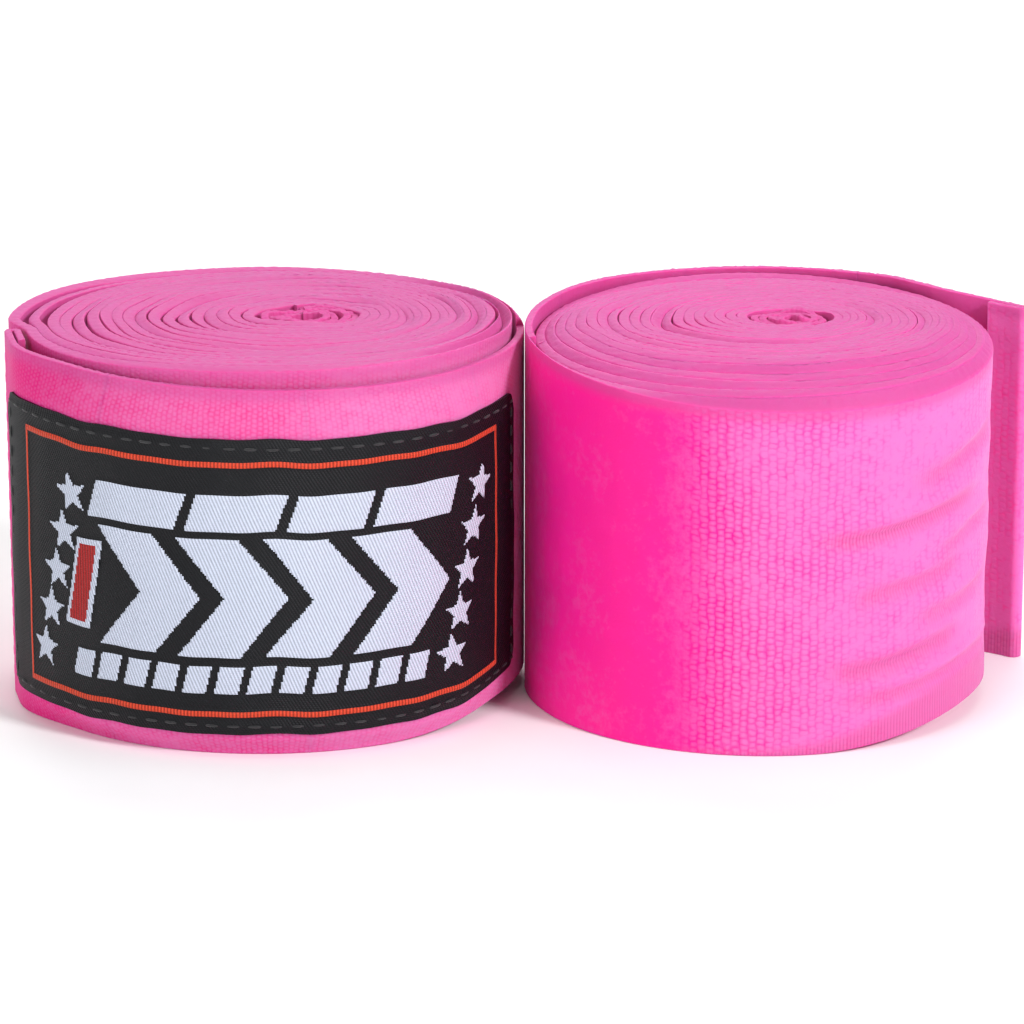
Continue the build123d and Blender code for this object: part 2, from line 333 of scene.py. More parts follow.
def ribbon(name, outer, normal, low, high, thick, along, material, rows, fluff, seed,
           relief=None, high_in=None, lean=0.0, marks=None):
    """A closed ribbon of cloth on edge, with rounded upper and lower edges.

    outer is its outer face, column by column; relief moves that face out by what it gives for
    (column, share of the height). high_in is the height of its inner side, where the upper edge
    slopes, and lean is how far its upper and lower edges lean inward. marks gives how smooth the
    nap is, how much darker ribbed colour the face takes, painted shade in its creases, and how much
    paler painted light makes the outer face. Both ends are flat, with sharp rims.
    """
    outer_rows, inner_rows = rows
    count = len(outer)
    half = thick / 2
    crown = min(ROUND_TOP, float(np.min(half)))
    arc = np.linspace(0, math.pi, ROUND_STEPS + 1)[1:-1]
    section = [("out", v) for v in np.linspace(0, 1, outer_rows + 1)]
    section += [("top", t) for t in arc]
    section += [("in", v) for v in np.linspace(1, 0, inner_rows + 1)]
    section += [("base", t) for t in arc]
    points, uvs = [], []
    layers = {"rim": [], "nap": [], "crease": [], "tone": []}
    across = high - low
    inward = across if high_in is None else high_in - low
    for where, value in section:
        if where == "out":
            offset, height = np.zeros(count), low + crown + value * (across - 2 * crown)
            rim = 0.7 * smooth((value - 0.955) / 0.04)
            if relief is not None:
                offset = offset + relief(np.arange(count), value)
        elif where == "in":
            offset, height = -thick, low + crown + value * (inward - 2 * crown)
            rim = 0.9 * smooth((value - 0.84) / 0.12)
        elif where == "top":
            sideways = squared(math.cos(value))
            edge_height = low + inward + (across - inward) * (sideways + 1) / 2
            rim = squared(math.sin(value))
            offset, height = -half + half * sideways, edge_height - crown + crown * rim
        else:
            offset = -half - half * squared(math.cos(value))
            height = low + crown - crown * squared(math.sin(value))
            rim = BASE_RIM
        if where in ("top", "base"):
            size = fluff * math.sin(value)
            if where == "top":
                height = height + size * ripple(along / 1.1, value * 0.7, seed)
            offset = offset + 0.5 * size * ripple(along / 0.9, value, seed + 1)
        share = {"top": 1.0, "base": 0.0}.get(where, value)
        near_edge = smooth((share - LEAN_TOP) / (1 - LEAN_TOP)) + smooth(1 - share / LEAN_BASE)
        offset = offset - lean * near_edge
        xy = outer + normal * np.reshape(np.broadcast_to(offset, count), (count, 1))
        points.append(np.column_stack([xy, np.broadcast_to(height, count)]))
        uvs.append(np.column_stack([along * MM, (height - low) / across * BAND_WIDTH * MM]))
        outside = marks is not None and where == "out"
        face_marks = marks(np.arange(count), value) if outside else INNER_MARKS
        for layer, mark in zip(layers.values(), (rim, *face_marks)):
            layer.append(np.full(count, mark))
    rings = len(section)
    points = np.stack(points, 1).reshape(-1, 3)
    uvs = np.stack(uvs, 1).reshape(-1, 2)
    layers = {layer: np.stack(one, 1).reshape(-1) for layer, one in layers.items()}
    base = np.arange(count - 1)[:, None] * rings
    ring = np.arange(rings)[None, :]
    after = (ring + 1) % rings
    quads = np.stack([base + ring, base + after, base + rings + after, base + rings + ring], -1)
    last = (count - 1) * rings
    faces = quads.reshape(-1, 4).tolist()
    faces.append(list(range(rings - 1, -1, -1)))
    faces.append([last + i for i in range(rings)])
    sharp = [tuple(sorted((start + i, start + (i + 1) % rings)))
             for start in (0, last) for i in range(rings)]
    return make_object(name, points, faces, uvs, [material], sharp=sharp, layers=layers)


def plate(name, wrap, span, low, high, base_out, thick, materials, cell=1.0, motif=None,
          proud=0.0, crown=0.0, mid_relief=None, waviness=0.0, corners=(0.0, 0.0)):
    """A patch of cloth that lies on the band, as a closed mesh with a fine grid on its outer face.

    low and high are heights on the 50 mm cloth. motif gives a material index for each cell, by its
    angle and its height, and cells of other than the first material stand proud.
    """
    mean_radius = float(np.mean(wrap.face(np.array(span)))) + base_out
    columns = max(2, round(math.radians(span[1] - span[0]) * mean_radius / cell))
    rows = max(2, round((high - low) / cell))
    a = np.linspace(span[0], span[1], columns + 1)
    v = np.linspace(low, high, rows + 1)
    foot, outward = wrap.place(a), wrap.outward(a)
    bottom, top = wrap.bottom(a), wrap.top(a)
    along = np.concatenate([[0], np.cumsum(np.linalg.norm(np.diff(foot, axis=0), axis=1))])
    waver = waviness * ripple(a / 16.0, 0.0, 31)
    inset = np.zeros(columns + 1)
    for reach, radius in ((along, corners[0]), (along[-1] - along, corners[1])):
        if radius:
            inset = inset + radius - np.sqrt(radius**2 - np.maximum(radius - reach, 0.0) ** 2)
    shrunk = v[None, :] + inset[:, None] * (1 - 2 * (v[None, :] - low) / (high - low))
    heights = (bottom + waver)[:, None] + shrunk * ((top - bottom) / BAND_WIDTH)[:, None]
    if motif is None:
        kinds = np.zeros((columns, rows), int)
    else:
        middle_a, middle_v = (a[1:] + a[:-1]) / 2, (v[1:] + v[:-1]) / 2
        kinds = motif(middle_a, middle_v)
    raised = np.zeros((columns + 1, rows + 1))
    weight = np.zeros_like(raised)
    for i in (0, 1):
        for j in (0, 1):
            raised[i:columns + i, j:rows + j] += kinds > 0
            weight[i:columns + i, j:rows + j] += 1
    out = base_out + thick + proud * raised / weight
    if crown:
        share = (v - low) / (high - low)
        out = out - crown * (1 - smooth(np.minimum(share, 1 - share) / 0.03))[None, :]
    if mid_relief is not None:
        out = out + mid_relief(a[:, None], v[None, :])
    points, uvs = [], []
    back_out = np.full((columns + 1, 2), base_out)
    for out_by, kept in ((out, np.arange(rows + 1)), (back_out, [0, rows])):
        xy = foot[:, None, :] + outward[:, None, :] * out_by[..., None]
        points.append(np.concatenate([xy, heights[:, kept, None]], -1).reshape(-1, 3))
        flat = np.broadcast_arrays(along[:, None] * MM, v[None, kept] * MM)
        uvs.append(np.stack(flat, -1).reshape(-1, 2))
    points, uvs = np.concatenate(points), np.concatenate(uvs)
    shift = (columns + 1) * (rows + 1)
    stride = rows + 1
    i, j = np.meshgrid(np.arange(columns), np.arange(rows), indexing="ij")
    corner = i * stride + j
    faces = np.stack([corner + 1, corner + stride + 1, corner + stride, corner], -1)
    faces = faces.reshape(-1, 4).tolist()
    slots = kinds.reshape(-1).tolist()
    for i in range(columns):
        a0, a1 = i * stride, (i + 1) * stride
        b0, b1 = shift + 2 * i, shift + 2 * (i + 1)
        faces += [[b1, b1 + 1, b0 + 1, b0], [a1, b1, b0, a0],
                  [b0 + 1, b1 + 1, a1 + rows, a0 + rows]]
        slots += [0, 0, 0]
    end, far = columns * stride, shift + 2 * columns
    faces.append([shift, *range(rows + 1), shift + 1])
    faces.append([far + 1, *range(end + rows, end - 1, -1), far])
    slots += [0, 0]
    sharp = [(start + k, start + k + 1) for start in (0, end) for k in range(rows)]
    sharp += [(i * stride + k, (i + 1) * stride + k) for i in range(columns) for k in (0, rows)]
    return make_object(name, points, faces, uvs, materials, slots, sharp)


def stitches(name, wrap, marks, out, material, proud=0.14, side=1):
    """Separate stitches, each a short rounded thread that dips at both ends.

    marks are (angle, height, runs along the band or not) for the middle of each stitch, heights
    on the 50 mm cloth. side is -1 for stitches on a face that looks into the roll.
    """
    rings, sides = 7, 6
    points, faces = [], []
    for angle, height, lengthwise in marks:
        radius = float(wrap.face(np.array(angle))) + out
        first = len(points)
        for ring in range(rings):
            share = ring / (rings - 1) * 2 - 1
            reach = share * STITCH_LENGTH / 2
            swell = math.sqrt(max(0.0, 1 - share**4))
            lift = proud * (1 - share**2) - 0.05
            a = angle + math.degrees(reach / radius) if lengthwise else angle
            z = height if lengthwise else height + reach
            foot, outward = wrap.place(np.array([a]))[0], wrap.outward(np.array([a]))[0]
            low, high = float(wrap.bottom(np.array(a))), float(wrap.top(np.array(a)))
            level = low + z * (high - low) / BAND_WIDTH
            aside = side * np.array([outward[1], -outward[0]])
            for k in range(sides):
                turn = 2 * math.pi * k / sides
                sideways = STITCH_WIDTH / 2 * swell * math.cos(turn)
                outwards = STITCH_WIDTH / 2 * swell * math.sin(turn) * 0.8
                xy = foot + outward * (out + side * (lift + outwards))
                if lengthwise:
                    points.append((*xy, level + side * sideways))
                else:
                    points.append((*(xy + aside * sideways), level))
        for ring in range(rings - 1):
            for k in range(sides):
                nxt = (k + 1) % sides
                here, there = first + ring * sides, first + (ring + 1) * sides
                faces.append([here + k, here + nxt, there + nxt, there + k])
        faces.append([first + k for k in range(sides - 1, -1, -1)])
        faces.append([first + (rings - 1) * sides + k for k in range(sides)])
    return make_object(name, points, faces, None, [material])


# ---- materials

class Nodes:
    """A short way to write a node material."""

    def __init__(self, name, **settings):
        self.material = bpy.data.materials.new(name)
        self.material.use_nodes = True
        self.tree = self.material.node_tree
        self.shader = self.tree.nodes["Principled BSDF"]
        for socket, value in settings.items():
            self.shader.inputs[socket.replace("_", " ")].default_value = value

    def add(self, kind, inputs=None, **fields):
        """A new node's outputs; its inputs are linked to other outputs or set to constants."""
        node = self.tree.nodes.new(kind)
        for key, value in fields.items():
            setattr(node, key, value)
        for socket, value in (inputs or {}).items():
            if hasattr(value, "links"):
                self.tree.links.new(value, node.inputs[socket])
            else:
                node.inputs[socket].default_value = value
        return node.outputs

    def math(self, operation, first, second=0.0):
        return self.add("ShaderNodeMath", {0: first, 1: second}, operation=operation)[0]

    plus = partialmethod(math, "ADD")
    minus = partialmethod(math, "SUBTRACT")
    times = partialmethod(math, "MULTIPLY")
    over = partialmethod(math, "DIVIDE")

    def mix(self, share, first, second):
        return self.add("ShaderNodeMix", {0: share, 6: first, 7: second}, data_type="RGBA")[2]

    def noise(self, vector, scale, detail=2.0, rough=0.5):
        inputs = {"Vector": vector, "Scale": scale, "Detail": detail, "Roughness": rough}
        return self.add("ShaderNodeTexNoise", inputs)["Fac"]

    def uv(self):
        """Distance along the cloth and height on it, in metres."""
        cloth = self.add("ShaderNodeUVMap", uv_map="cloth")[0]
        return self.add("ShaderNodeSeparateXYZ", {0: cloth})[:2]

    def wave(self, count):
        """0 at every whole number and 1 halfway between them."""
        return self.math("ABSOLUTE", self.math("SINE", self.times(count, math.pi)))

    def object_space(self):
        return self.add("ShaderNodeTexCoord")["Object"]

    def mark(self, name):
        """What the mesh says at a point, such as how much painted light or shade the cloth takes.
        """
        return self.add("ShaderNodeAttribute", attribute_name=name)["Fac"]

    def colour(self, value):
        self.tree.links.new(value, self.shader.inputs["Base Color"])

    def bump(self, height, strength, distance):
        inputs = {"Height": height, "Strength": strength, "Distance": distance}
        bumped = self.add("ShaderNodeBump", inputs)[0]
        self.tree.links.new(bumped, self.shader.inputs["Normal"])


def rgb(red, green, blue):
    """A colour given as it is seen on screen, 0 to 255, as the shader takes it."""
    def linear(c):
        c /= 255
        return c / 12.92 if c <= 0.04045 else ((c + 0.055) / 1.055) ** 2.4
    return (linear(red), linear(green), linear(blue), 1.0)


DUSTY = rgb(192, 74, 142)  # the cloth's fuzzy cut or folded edges


def band_cloth(name, column, bead, strength, deep, painted_light):
    """Elastic cotton: beads of yarn in columns, each half a bead off its neighbour, under a nap.

    The nap hides the weave where it is smooth. Stretched creases show fine dusty ribs in a darker
    colour, painted shade in the fold troughs, and the right roll's lower edge takes the same
    colour.
    The tone mark is painted light: a stronger tone is paler. The beads are painted lighter and
    their pits darker, a painted highlight and shade on the weave.
    """
    m = Nodes(name, Roughness=0.6, Sheen_Weight=0.14, Sheen_Roughness=0.35,
              Sheen_Tint=rgb(245, 195, 255), Specular_IOR_Level=0.35,
              Specular_Tint=rgb(255, 225, 255), Subsurface_Weight=0.6,
              Subsurface_Scale=1.0 * MM, Subsurface_Radius=(1.0, 0.3, 0.6))
    u, v = m.uv()
    space = m.object_space()
    sway = m.times(m.minus(m.noise(space, 500.0, 2.0), 0.5), 0.9)
    across = m.plus(m.over(u, column), sway)
    odd = m.math("PINGPONG", m.math("FLOOR", across), 1.0)
    down = m.plus(m.over(v, bead), m.plus(m.times(odd, 0.5), sway))
    beads = m.times(m.wave(across), m.plus(m.times(m.wave(down), 0.9), 0.1))
    weave = m.math("POWER", beads, 0.8)
    rib = m.wave(m.over(u, 0.5 * MM))
    fibre = m.noise(space, 2600.0, 3.0, 0.65)
    patch = m.noise(space, 110.0, 3.0, 0.6)
    bald = m.noise(space, 900.0, 1.0)
    rim, nap, crease, tone = (m.mark(a) for a in ("rim", "nap", "crease", "tone"))
    hidden = m.math("MINIMUM", m.plus(nap, m.times(m.times(patch, bald), 1.6)), 1.0)
    shown = m.times(m.minus(1.0, hidden), strength)
    relief = m.plus(m.times(weave, shown), m.times(fibre, 0.5))
    m.bump(relief, 0.35, 0.25 * MM)
    # Painted highlight and shade: the yarn beads are painted lighter and the pits between them
    # darker.
    woven = m.times(m.minus(weave, 0.6), shown)
    specks = m.plus(m.times(fibre, 0.35), m.times(bald, 0.45))
    mottle = m.plus(m.times(m.minus(patch, 0.5), 0.55), m.minus(specks, 0.4))
    # Painted light: tone moves the colour from deep towards the paler colour where the cloth faces
    # the key light, and on inner faces; mottle is random tone.
    cloth = m.mix(m.plus(m.plus(tone, mottle), woven), deep, painted_light)
    # The darker ribbed colour: painted shade in the fold troughs, also laid along the right roll's
    # lower edge.
    ribbed = m.mix(rib, rgb(176, 62, 120), rgb(206, 98, 156))
    creased = m.mix(m.times(crease, 0.85), cloth, ribbed)
    m.colour(m.mix(m.times(rim, 0.9), creased, DUSTY))
    return m.material


def webbing():
    """The thumb loop's narrow ribbed cloth."""
    m = Nodes("webbing", Roughness=0.85, Sheen_Weight=0.2, Sheen_Roughness=0.5,
              Sheen_Tint=rgb(255, 180, 220), Specular_IOR_Level=0.2)
    u, _ = m.uv()
    rib = m.wave(m.over(u, 0.8 * MM))
    fibre = m.noise(m.object_space(), 2200.0, 3.0, 0.6)
    m.bump(m.plus(m.times(rib, 0.4), fibre), 0.3, 0.2 * MM)
    ground = m.mix(m.times(m.plus(rib, fibre), 0.5), rgb(215, 40, 128), rgb(243, 105, 178))
    m.colour(m.mix(m.times(m.mark("rim"), 0.8), ground, DUSTY))
    return m.material


def label_threads(name, dark, light, sheen, slope, rough):
    """Woven label yarn: fine ribs that lean by slope, glossier than the cloth."""
    m = Nodes(name, Roughness=rough, Sheen_Weight=sheen, Sheen_Roughness=0.3,
              Specular_IOR_Level=0.22)
    u, v = m.uv()
    rib = m.wave(m.plus(m.over(u, 0.45 * MM), m.times(m.over(v, 0.45 * MM), slope)))
    pick = m.wave(m.over(v, 0.28 * MM))
    fibre = m.noise(m.object_space(), 3500.0, 2.0, 0.6)
    m.bump(m.plus(m.times(rib, 0.7), m.times(pick, 0.3)), 0.6, 0.18 * MM)
    tone = m.plus(m.times(m.math("POWER", rib, 2.0), 0.7), m.times(fibre, 0.4))
    m.colour(m.mix(tone, dark, light))
    return m.material


def thread_yarn(name, dark, light):
    """Sewing thread, with its twist."""
    m = Nodes(name, Roughness=0.6, Sheen_Weight=0.2)
    twist = m.noise(m.object_space(), 3000.0, 2.0)
    m.bump(twist, 0.4, 0.1 * MM)
    m.colour(m.mix(twist, dark, light))
    return m.material


def hook_tape():
    """Stiff woven ground under rows of nylon hooks."""
    m = Nodes("hook_tape", Roughness=0.5, Specular_IOR_Level=0.5)
    u, v = m.uv()
    hook = m.times(m.wave(m.over(u, 1.2 * MM)), m.wave(m.over(v, 0.9 * MM)))
    m.bump(hook, 0.9, 0.5 * MM)
    m.colour(m.mix(hook, rgb(176, 14, 96), rgb(226, 50, 140)))
    return m.material


def loop_pile():
    """Napped loop pile."""
    m = Nodes("loop_pile", Roughness=0.95, Sheen_Weight=0.6, Sheen_Roughness=0.4,
              Sheen_Tint=rgb(255, 170, 215))
    pile = m.noise(m.object_space(), 1300.0, 4.0, 0.7)
    m.bump(pile, 0.9, 0.6 * MM)
    m.colour(m.mix(pile, rgb(196, 20, 108), rgb(238, 84, 162)))
    return m.material


# Each band's second colour is the paler one that painted light moves it towards.
FINE_BAND = band_cloth("band_cloth_fine", 0.7 * MM, 0.6 * MM, 0.8,
                       rgb(218, 20, 122), rgb(214, 112, 170))
COARSE_BAND = band_cloth("band_cloth", 1.1 * MM, 0.85 * MM, 1.25,
                         rgb(248, 16, 146), rgb(228, 110, 181))
WEBBING = webbing()
# The black yarn's lighter bluish rib colour is the twill's ribs and a painted glint along them.
LABEL_BLACK = label_threads("label_black", rgb(3, 3, 4), rgb(14, 16, 21), 0.0, -0.6, 0.5)
LABEL_WHITE = label_threads("label_white", rgb(150, 156, 170), rgb(206, 214, 232), 0.05, -0.4, 0.45)
LABEL_ORANGE = label_threads("label_orange", rgb(120, 30, 18), rgb(226, 74, 44), 0.1, 0.0, 0.5)
LABEL_RED = label_threads("label_red", rgb(100, 10, 14), rgb(178, 34, 34), 0.1, 0.0, 0.5)
BLACK_THREAD = thread_yarn("black_thread", rgb(6, 6, 8), rgb(24, 25, 29))
PINK_THREAD = thread_yarn("pink_thread", rgb(220, 60, 142), rgb(250, 130, 190))
HOOKS = hook_tape()
PILE = loop_pile()


# ---- the label's figure

LABEL_MIDDLE = math.radians((LABEL_SPAN[0] + LABEL_SPAN[1]) / 2)


def inside(points_x, points_y, corners):
    """Whether points lie inside a polygon."""
    hit = np.zeros(np.broadcast(points_x, points_y).shape, bool)
    for (x0, y0), (x1, y1) in zip(corners, corners[1:] + corners[:1]):
        if y0 == y1:
            continue
        crosses = (y0 > points_y) != (y1 > points_y)
        hit ^= crosses & (points_x < x0 + (x1 - x0) * (points_y - y0) / (y1 - y0))
    return hit


def slanted(x, y, left, right, low, high, lean):
    """A bar whose ends lean to the right as they rise."""
    shift = lean * (y - low)
    return (x > left + shift) & (x < right + shift) & (y > low) & (y < high)


def star_corners(x, y, size, tilt):
    """A five-pointed star."""
    corners = []
    for k in range(10):
        reach = size if k % 2 == 0 else size * 0.42
        angle = math.radians(90 + tilt + 36 * k)
        corners.append((x + reach * math.cos(angle), y + reach * math.sin(angle)))
    return corners


# The figure's lines and rows, from the label's middle and its lower edge
BORDER_X = 37.0
BORDER_LOW, BORDER_HIGH = 2.9, 37.0
UPPER_LOW, UPPER_HIGH, UPPER_LEAN = 27.9, 33.0, 0.35
UPPER_BARS = ((-24.6, -11.6), (-10.2, 1.6), (3.0, 13.0), (14.4, 26.2))
CHEVRON_LOW, CHEVRON_MIDDLE, CHEVRON_HIGH = 10.6, 18.8, 27.0
CHEVRON_START, CHEVRON_STEP, CHEVRON_WIDTH, CHEVRON_TIP = -22.8, 11.4, 8.2, 6.4
LOWER_LOW, LOWER_HIGH, LOWER_LEAN = 5.7, 9.6, 0.25
LOWER_START, LOWER_STEP, LOWER_WIDTH = -27.6, 4.2, 3.1
STAR_X, STAR_Y, STAR_SIZE = 30.0, 8.0, 2.95
STAR_LEAN = 1.5
STAR_STEP = 5.6


def emblem(x, height):
    """The label's woven figure: 0 black, 1 white, 2 orange-red, 3 red.

    x is the distance from the label's middle, to the right; height is on the 50 mm cloth.
    """
    x, y = np.broadcast_arrays(x[:, None], (height - LABEL_LOW)[None, :])
    kinds = np.zeros(x.shape, int)
    border = (np.abs(y - BORDER_HIGH) < 0.3) | (np.abs(y - BORDER_LOW) < 0.3)
    border &= np.abs(x) < BORDER_X + 0.3
    border |= (np.abs(np.abs(x) - BORDER_X) < 0.27) & (y > BORDER_LOW) & (y < BORDER_HIGH)
    kinds[border] = 2
    white = np.zeros(x.shape, bool)
    for left, right in UPPER_BARS:
        white |= slanted(x, y, left, right, UPPER_LOW, UPPER_HIGH, UPPER_LEAN)
    for k in range(4):
        left = CHEVRON_START + CHEVRON_STEP * k
        right, tip = left + CHEVRON_WIDTH, left + CHEVRON_TIP
        white |= inside(x, y, [(left, CHEVRON_LOW), (right, CHEVRON_LOW),
                               (tip + CHEVRON_WIDTH, CHEVRON_MIDDLE), (right, CHEVRON_HIGH),
                               (left, CHEVRON_HIGH), (tip, CHEVRON_MIDDLE)])
    for k in range(12):
        left = LOWER_START + LOWER_STEP * k
        white |= slanted(x, y, left, left + LOWER_WIDTH, LOWER_LOW, LOWER_HIGH, LOWER_LEAN)
    for side in (-1, 1):
        for k in range(5):
            star_x = side * STAR_X - 0.4 + STAR_LEAN * (k - 2)
            star_y = STAR_Y + STAR_STEP * k
            white |= inside(x, y, star_corners(star_x, star_y, STAR_SIZE, -4.0 * side * (k - 1)))
    kinds[white] = 1
    kinds[slanted(x, y, -28.8, -24.5, 12.4, 24.6, 0.2)] = 1
    kinds[slanted(x, y, -28.1, -25.2, 13.1, 23.9, 0.2)] = 3
    return kinds


# ---- the pieces

def stand_for(wrap, nodes):
    """The piece takes the place of the CAD nodes, if any."""
    if nodes:
        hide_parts(*[f"{wrap.name}_{node}" for node in nodes])


def follow(piece, wrap, index, *nodes, slot):
    """The piece spans one hinge line; its transform is baked into its mesh and it stands for the
    CAD nodes.
    """
    start, end = (wrap.place(np.array([a]))[0] * MM for a in bend_span(index))
    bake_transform(piece)
    stand_for(wrap, nodes)


def ride(piece, wrap, *nodes, slot):
    """The piece stays with the roll and stands for the CAD nodes."""
    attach(piece, f"{wrap.name}_roll")
    stand_for(wrap, nodes)


def band_of(wrap):
    """The left band is relaxed, with a finer weave, and the right one is stretched."""
    return FINE_BAND if wrap is LEFT else COARSE_BAND


def inner_end(wrap):
    """Where the wound band's inner end lies."""
    return -360.0 * int((wrap.under - CORE_RADIUS) / wrap.pitch) - 120.0


def arc_steps(wrap, start, end, step):
    """Angles from start inward to end, a step of cloth apart."""
    angles = [start]
    while angles[-1] > end:
        radius = float(wrap.face(np.array(angles[-1])))
        angles.append(angles[-1] - math.degrees(step / max(radius, 3.0)))
    angles[-1] = end
    return np.array(angles[::-1])


def cloth_length(points):
    """How far along the cloth each point is."""
    return np.concatenate([[0], np.cumsum(np.linalg.norm(np.diff(points, axis=0), axis=1))])


def wound_thickness(wrap, a):
    """The cloth fills the room between two turns, but for the grooves."""
    room = np.linalg.norm(wrap.place(a) - wrap.place(a - 360.0), axis=-1)
    full = np.minimum(room * WOUND_FILL, wrap.pitch * MOST_FILL)
    full = full - 0.5 * wrap.groove(a)
    near_tab = smooth((a + 60.0) / 60.0)
    return full + (BAND_THICK - full) * near_tab


FOLD_DEPTH = 1.3
# (angle from the front, height, half length in degrees, how deep, how wide, rise to the right)
RIGHT_FOLDS = (
    (38.0, 31.6, 36.0, 0.85, 1.1, 0.9), (38.0, 22.4, 24.0, 0.6, 1.2, 1.2),
    (35.0, 11.6, 28.0, 0.75, 1.3, 0.6), (52.0, 6.6, 44.0, 0.65, 1.0, -0.4),
    (60.0, 38.8, 30.0, 0.6, 1.4, 1.4), (64.0, 26.8, 24.0, 0.5, 1.1, 1.0),
    (58.0, 17.0, 26.0, 0.55, 1.2, 0.9),
)


def tension_folds(wrap, a, height):
    """Lengthwise folds where the outer turn is pulled tight: how deep, and how much painted shade
    darkens their troughs.
    """
    beta = wrap.facing(a)
    depth, crease = np.zeros_like(beta), np.zeros_like(beta)
    for middle, level, reach, size, width, rise in RIGHT_FOLDS:
        share = (beta - middle) / reach
        line = level + rise * share + 0.25 * np.sin(share * 4.0 + level)
        fade = 1 - smooth(np.abs(share))
        profile = np.exp(-(((height - line) / width) ** 2))
        crest = np.exp(-(((height - line - 1.5 * width) / width) ** 2))
        depth = depth + FOLD_DEPTH * size * (0.6 * crest - profile) * fade
        # Painted shade: the darker ribbed colour laid along each fold's trough.
        trough_shade = np.exp(-(((height - line) / (1.3 * width)) ** 2))
        crease = crease + size * trough_shade * smooth(2.0 * fade)
    return depth, np.clip(crease, 0, 1)


def turn_relief(wrap, angles):
    """How the outer turn's face rises and falls: slow waves, with folds on the right roll."""
    def relief(columns, share):
        a = angles[columns]
        height = share * BAND_WIDTH
        beta = wrap.facing(a)
        slow = 0.16 * ripple(beta / 40.0, height / 16.0, wrap.seed + 5)
        lumps = 0.05 * ripple(beta / 9.0, height / 4.0, wrap.seed + 6)
        edges = smooth(np.minimum(share, 1 - share) / 0.12)
        folds = tension_folds(wrap, a, height)[0] if wrap is RIGHT else 0.0
        ends = smooth(np.abs(a + 14.0) / 12.0)
        return (slow + lumps + folds - 0.12) * edges * ends
    return relief


PAINTED_LIGHT_SIDE = 70.0  # the angle from the front, towards the key light, where painted light makes the cloth palest


def turn_marks(wrap, angles):
    """Where the outer face's nap is smooth, where it takes the darker ribbed colour (painted shade
    in the fold troughs), and how much painted light pales it.
    """
    def marks(columns, share):
        a = angles[columns]
        beta = wrap.facing(a)
        # Painted light: on both rolls the outer face is painted paler the nearer it turns towards
        # the key light at the right.
        away = np.abs((beta - PAINTED_LIGHT_SIDE + 180.0) % 360.0 - 180.0)
        if wrap is LEFT:
            painted_light = 0.65 * smooth((140.0 - away) / 50.0) + 0.35 * smooth((80.0 - away) / 60.0)
            return np.full(len(a), 0.1), np.zeros(len(a)), painted_light
        height = share * BAND_WIDTH
        painted_light = 0.85 * smooth((102.0 - away) / 32.0) + 0.15 * smooth((70.0 - away) / 38.0)
        smooth_back = 0.95 * smooth((away - 82.0) / 18.0)
        nap = np.maximum(smooth_back, 0.4 * smooth((75.0 - away) / 40.0))
        # A band of the darker ribbed colour along the lower edge, higher and stronger on the side
        # towards the key light.
        lower_edge_top = 1.5 + 5.0 * smooth((75.0 - away) / 60.0)
        lower_edge_band = 0.8 * smooth((lower_edge_top - height) / 2.0) * smooth((100.0 - away) / 30.0)
        return nap, np.maximum(tension_folds(wrap, a, height)[1], lower_edge_band), painted_light
    return marks


def wound_band(wrap):
    """The wound part of the band: the inner turns, and the outer turn with a finer face."""
    for name, start, end, step, rows, outermost, nodes in (
        ("band_inner_turns", OUTER_START, inner_end(wrap), 0.62, (3, 2), False, ("wound_band",)),
        ("band_outer_turn", CUTS[0], OUTER_START, 0.5, (64, 4), True, ()),
    ):
        a = arc_steps(wrap, start, end, step)
        points = wrap.place(a)
        along = cloth_length(points)
        piece = ribbon(f"{wrap.name}_{name}", points, wrap.outward(a), wrap.bottom(a), wrap.top(a),
                       wound_thickness(wrap, a), along, band_of(wrap), rows, 0.09, wrap.seed + 3,
                       high_in=wrap.top(a - 360.0),
                       relief=turn_relief(wrap, a) if outermost else None,
                       marks=turn_marks(wrap, a) if outermost else None)
        ride(piece, wrap, *nodes, slot="band")


def hemmed(wrap, a, outer, normal):
    """The last length of the free end carried on round the hem's fold and back under itself."""
    tip, out = outer[-1], normal[-1]
    forward = np.array([out[1], -out[0]])
    fold = [math.radians(t) for t in np.linspace(0, 180, 13)[1:]]
    headings = [out * math.cos(t) + forward * math.sin(t) for t in fold]
    turned = [tip - out * HEM_FOLD + HEM_FOLD * heading for heading in headings]
    back = np.arange(TAB_END - 0.5, HEM_START, -0.75)
    outer = np.concatenate([outer, turned, wrap.place(back, -2 * HEM_FOLD)])
    normal = np.concatenate([normal, headings, -wrap.outward(back)])
    return np.concatenate([a, np.full(len(fold), TAB_END), back]), outer, normal


def free_end(wrap, index):
    """One length of the band's free end, over one hinge line; the last one is hemmed."""
    last = index == len(HINGES) - 1
    a = np.arange(CUTS[index], CUTS[index + 1] + 0.01, 0.75)
    a[-1] = CUTS[index + 1]
    outer, normal = wrap.place(a), wrap.outward(a)
    thick = BAND_THICK + (wound_thickness(wrap, a) - BAND_THICK) * smooth(-a / 14.0)
    if last:
        a, outer, normal = hemmed(wrap, a, outer, normal)
        thick = np.full(len(a), BAND_THICK * 0.94)
    along = cloth_length(outer)
    room = np.maximum(wrap.face(a) - BAND_THICK - wrap.face(a - 360.0), 0.0)
    lean = LEAN_SHARE * room * smooth(a / 20.0) * (1 - smooth((a - HEM_START + 25.0) / 25.0))
    piece = ribbon(f"{wrap.name}_free_end_{index + 1}", outer, normal, wrap.bottom(a), wrap.top(a),
                   thick, along, band_of(wrap), (60, 30), 0.1, wrap.seed + 7,
                   lean=lean, marks=turn_marks(wrap, a))
    nodes = [f"band_end_{index + 1}"] + (["end_hem"] if last else [])
    follow(piece, wrap, index, *nodes, slot="band")


